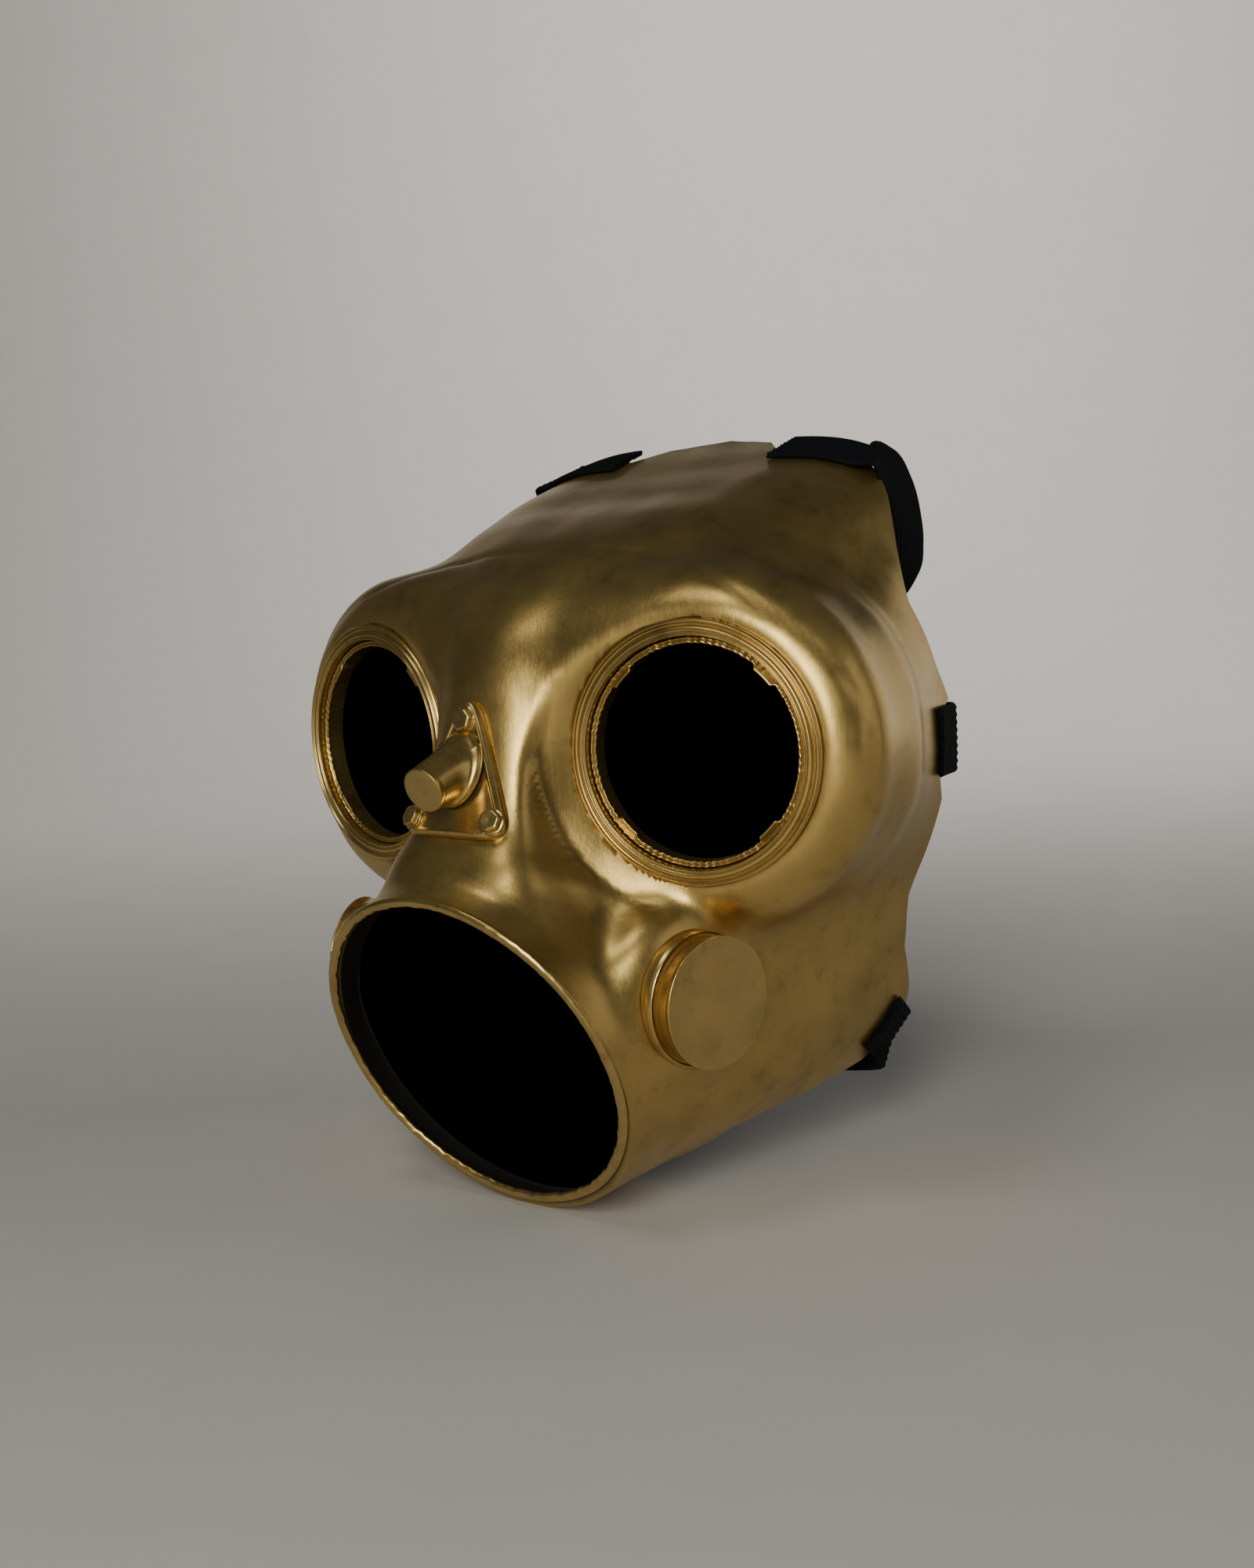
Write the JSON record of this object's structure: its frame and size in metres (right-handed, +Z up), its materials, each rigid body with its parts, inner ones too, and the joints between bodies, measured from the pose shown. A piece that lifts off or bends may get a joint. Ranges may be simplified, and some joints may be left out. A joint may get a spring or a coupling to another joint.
{
  "type": "gas-mask style costume mask",
  "caption": "Moulded gold face mask with round eye ports, nose spigot, screw caps on the cheeks, round snout opening and elastic bands behind.",
  "frame": {"origin": "midway between the centres of the two eye ports, where the wearer's face holds the mask", "axes": "+Z up, the wearer looks along -Y, +X is the wearer's left"},
  "size_m": [0.1894, 0.1544, 0.203],
  "materials": {
    "gold_shell": "satin metallic gold paint with faint brushing and darker hollows",
    "gold_fittings": "satin metallic gold paint, a little brighter, worn on the edges",
    "black_elastic": "ribbed woven elastic, matt",
    "black_cloth": "fine black stretch cloth, fully matt"
  },
  "bodies": {
    "shell": {"face_shell": "gold_shell", "left_eye_bezel": "gold_fittings", "right_eye_bezel": "gold_fittings", "left_eye_scrim": "black_cloth", "right_eye_scrim": "black_cloth", "mouth_rim": "gold_fittings", "mouth_scrim": "black_cloth", "nose_plate": "gold_fittings", "nose_bolt_top": "gold_fittings", "left_nose_bolt": "gold_fittings", "right_nose_bolt": "gold_fittings", "nose_spigot": "gold_fittings", "spigot_cap": "gold_fittings", "left_cheek_flange": "gold_fittings", "right_cheek_flange": "gold_fittings", "left_top_strap_end": "black_elastic", "right_top_strap_end": "black_elastic", "left_ear_strap_end": "black_elastic", "right_ear_strap_end": "black_elastic", "left_jaw_strap_end": "black_elastic", "right_jaw_strap_end": "black_elastic"},
    "left_ring": {"left_eye_ring": "gold_fittings"},
    "right_ring": {"right_eye_ring": "gold_fittings"},
    "left_cap": {"left_cheek_cap": "gold_fittings"},
    "right_cap": {"right_cheek_cap": "gold_fittings"},
    "top_band": {"top_strap": "black_elastic"},
    "ear_band": {"ear_strap": "black_elastic"},
    "jaw_band": {"jaw_strap": "black_elastic"}
  },
  "joints": [
    {"name": "left_ring_turn", "type": "hinge", "parent": "shell", "child": "left_ring", "pos_m": [0.0541, 0, 0], "axis": [0.2036, -0.9791, 0], "range_deg": [0, 45]},
    {"name": "right_ring_turn", "type": "hinge", "parent": "shell", "child": "right_ring", "pos_m": [-0.0541, 0, 0], "axis": [-0.2036, -0.9791, 0], "range_deg": [0, 45]},
    {"name": "left_cap_turn", "type": "hinge", "parent": "shell", "child": "left_cap", "pos_m": [0.05306, -0.00159, -0.0606], "axis": [0.9768, -0.2141, 0], "range_deg": [0, 90]},
    {"name": "right_cap_turn", "type": "hinge", "parent": "shell", "child": "right_cap", "pos_m": [-0.05306, -0.00159, -0.0606], "axis": [-0.9768, -0.2141, 0], "range_deg": [0, 90]},
    {"name": "top_band_swing", "type": "hinge", "parent": "shell", "child": "top_band", "pos_m": [0, 0.09999, 0.06965], "axis": [1, 0, 0], "range_deg": [-10, 60], "stiffness_Nm_per_rad": 0.03},
    {"name": "ear_band_swing", "type": "hinge", "parent": "shell", "child": "ear_band", "pos_m": [0, 0.0885, -0.00485], "axis": [1, 0, 0], "range_deg": [-30, 30], "stiffness_Nm_per_rad": 0.06},
    {"name": "jaw_band_swing", "type": "hinge", "parent": "shell", "child": "jaw_band", "pos_m": [0, 0.0845, -0.0895], "axis": [1, 0, 0], "range_deg": [-25, 25], "stiffness_Nm_per_rad": 0.06}
  ]
}
